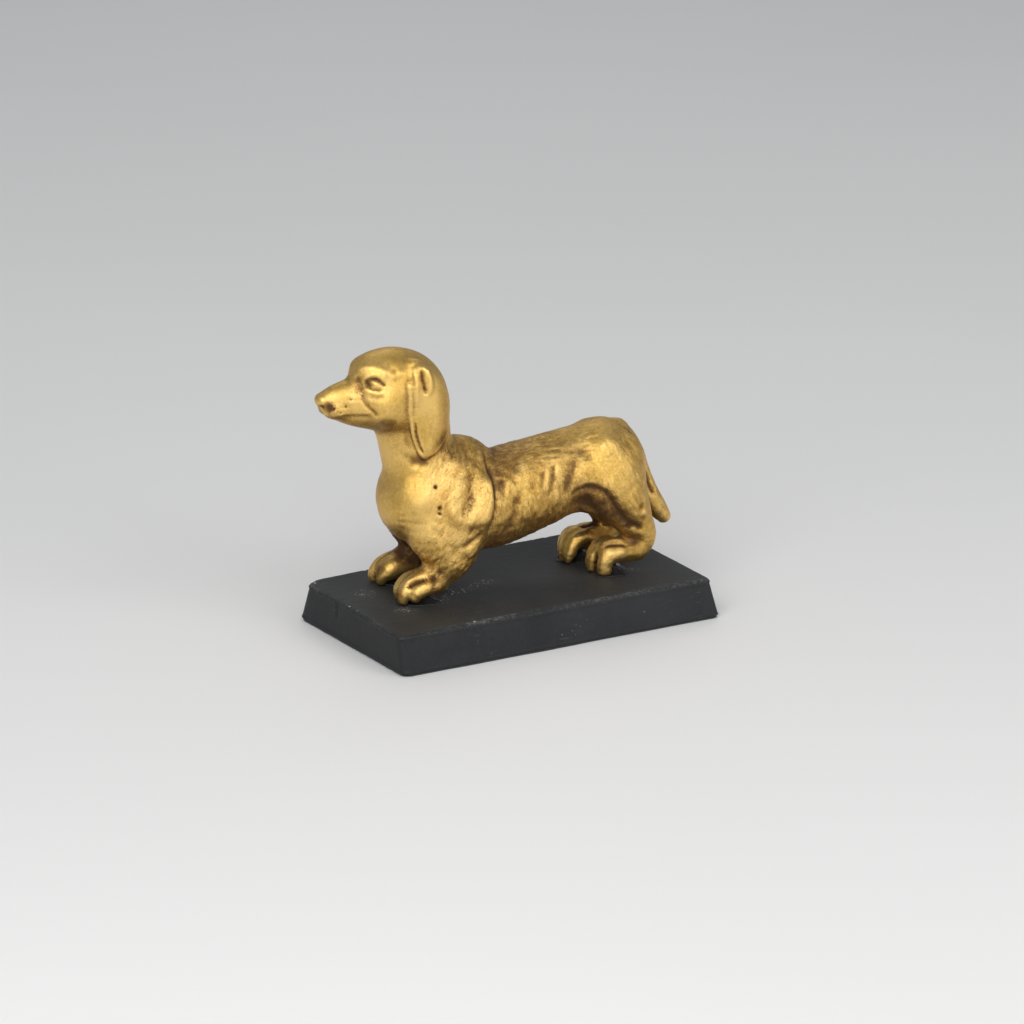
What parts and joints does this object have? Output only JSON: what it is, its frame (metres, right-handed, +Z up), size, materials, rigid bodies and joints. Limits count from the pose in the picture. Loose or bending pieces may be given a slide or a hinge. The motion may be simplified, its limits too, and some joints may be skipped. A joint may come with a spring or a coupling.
{
  "type": "dog figurine",
  "caption": "Standing long-bodied short-legged dog with hanging ears, cast and gilded, pinned and bonded to a black drafted plinth with a thin pad beneath it.",
  "frame": {"origin": "centre of the underside of the foot pad, where the figurine rests", "axes": "+Z up; the plinth's length along X with the dog's nose towards -X and its tail towards +X; the dog's left side towards -Y"},
  "size_m": [0.1581, 0.0876, 0.1212],
  "materials": {
    "gilding": "worn gilding with brown patina in the recesses, over a cast body",
    "black_paint": "matt charcoal paint, scuffed, with small pale chips",
    "pad": "matt black pad",
    "steel": "drawn",
    "adhesive": "glossy black"
  },
  "bodies": {
    "root": {"dog_figure": "gilding", "plinth": "black_paint", "foot_pad": "pad", "pin_front_left": "steel", "pin_front_right": "steel", "pin_hind_left": "steel", "pin_hind_right": "steel", "bond_front_left": "adhesive", "bond_front_right": "adhesive", "bond_hind_left": "adhesive", "bond_hind_right": "adhesive"}
  },
  "joints": []
}
